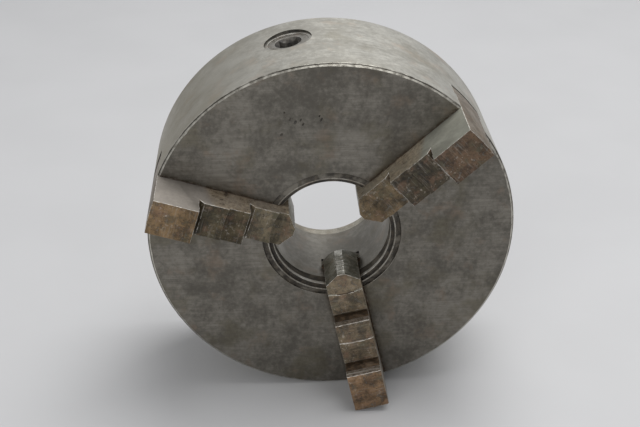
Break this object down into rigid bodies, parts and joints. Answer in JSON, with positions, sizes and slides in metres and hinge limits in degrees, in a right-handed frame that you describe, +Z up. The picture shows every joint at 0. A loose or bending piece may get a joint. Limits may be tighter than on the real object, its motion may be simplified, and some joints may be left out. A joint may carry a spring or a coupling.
{
  "type": "three-jaw scroll chuck",
  "caption": "Self-centring lathe chuck with stepped jaws driven in and out together by a spiral scroll and key-turned pinions.",
  "frame": {"origin": "centre of the back face, on the spin axis", "axes": "+Y along the spin axis towards the spindle (the jaws face -Y), +Z up, +X to the right as seen from the front"},
  "size_m": [0.25, 0.122, 0.25],
  "materials": {
    "body_steel": "worn, oil-darkened turned steel",
    "scroll_steel": "hardened and ground, greasy",
    "jaw_steel": "hardened steel with surface rust on the front faces",
    "pinion_steel": "hardened, worn",
    "bush_steel": "turned",
    "black_screw": "black oxide",
    "cover_steel": "turned, oil-darkened",
    "ring_steel": "ground",
    "dowel_steel": "ground"
  },
  "bodies": {
    "body": {"chuck_body": "body_steel", "back_cover": "cover_steel", "thrust_ring": "ring_steel", "cover_screw_1": "black_screw", "cover_screw_2": "black_screw", "cover_screw_3": "black_screw", "cover_dowel_1": "dowel_steel", "cover_dowel_2": "dowel_steel", "pinion_bush_1": "bush_steel", "pinion_bush_2": "bush_steel", "pinion_bush_3": "bush_steel", "pinion_screw_1": "black_screw", "pinion_screw_2": "black_screw", "pinion_screw_3": "black_screw"},
    "scroll": {"scroll_plate": "scroll_steel"},
    "jaw_1": {"jaw_1": "jaw_steel"},
    "jaw_2": {"jaw_2": "jaw_steel"},
    "jaw_3": {"jaw_3": "jaw_steel"},
    "pinion_1": {"pinion_1": "pinion_steel"},
    "pinion_2": {"pinion_2": "pinion_steel"},
    "pinion_3": {"pinion_3": "pinion_steel"}
  },
  "joints": [
    {"name": "scroll_turn", "type": "hinge", "parent": "body", "child": "scroll", "pos_m": [0, -0.05, 0], "axis": [0, -1, 0], "range_deg": [-1075, 860]},
    {"name": "jaw_1_slide", "type": "slide", "parent": "body", "child": "jaw_1", "axis": [0.7361, 0, 0.6769], "range_m": [-0.024, 0.03]},
    {"name": "jaw_2_slide", "type": "slide", "parent": "body", "child": "jaw_2", "axis": [-0.9542, 0, 0.299], "range_m": [-0.024, 0.03]},
    {"name": "jaw_3_slide", "type": "slide", "parent": "body", "child": "jaw_3", "axis": [0.2181, 0, -0.9759], "range_m": [-0.024, 0.03]},
    {"name": "pinion_1_turn", "type": "hinge", "parent": "body", "child": "pinion_1", "pos_m": [-0.02181, -0.03403, 0.09759], "axis": [-0.2181, 0, 0.9759], "range_deg": [-5700, 7110]},
    {"name": "pinion_2_turn", "type": "hinge", "parent": "body", "child": "pinion_2", "pos_m": [-0.07361, -0.03403, -0.06769], "axis": [-0.7361, 0, -0.6769], "range_deg": [-5700, 7110]},
    {"name": "pinion_3_turn", "type": "hinge", "parent": "body", "child": "pinion_3", "pos_m": [0.09542, -0.03403, -0.0299], "axis": [0.9542, 0, -0.299], "range_deg": [-5700, 7110]}
  ],
  "couplings": [
    {"joint": "jaw_1_slide", "follows": "scroll_turn", "m_per_rad": -0.0015915},
    {"joint": "jaw_2_slide", "follows": "scroll_turn", "m_per_rad": -0.0015915},
    {"joint": "jaw_3_slide", "follows": "scroll_turn", "m_per_rad": -0.0015915},
    {"joint": "pinion_1_turn", "follows": "scroll_turn", "ratio": -6.6},
    {"joint": "pinion_2_turn", "follows": "scroll_turn", "ratio": -6.6},
    {"joint": "pinion_3_turn", "follows": "scroll_turn", "ratio": -6.6}
  ]
}
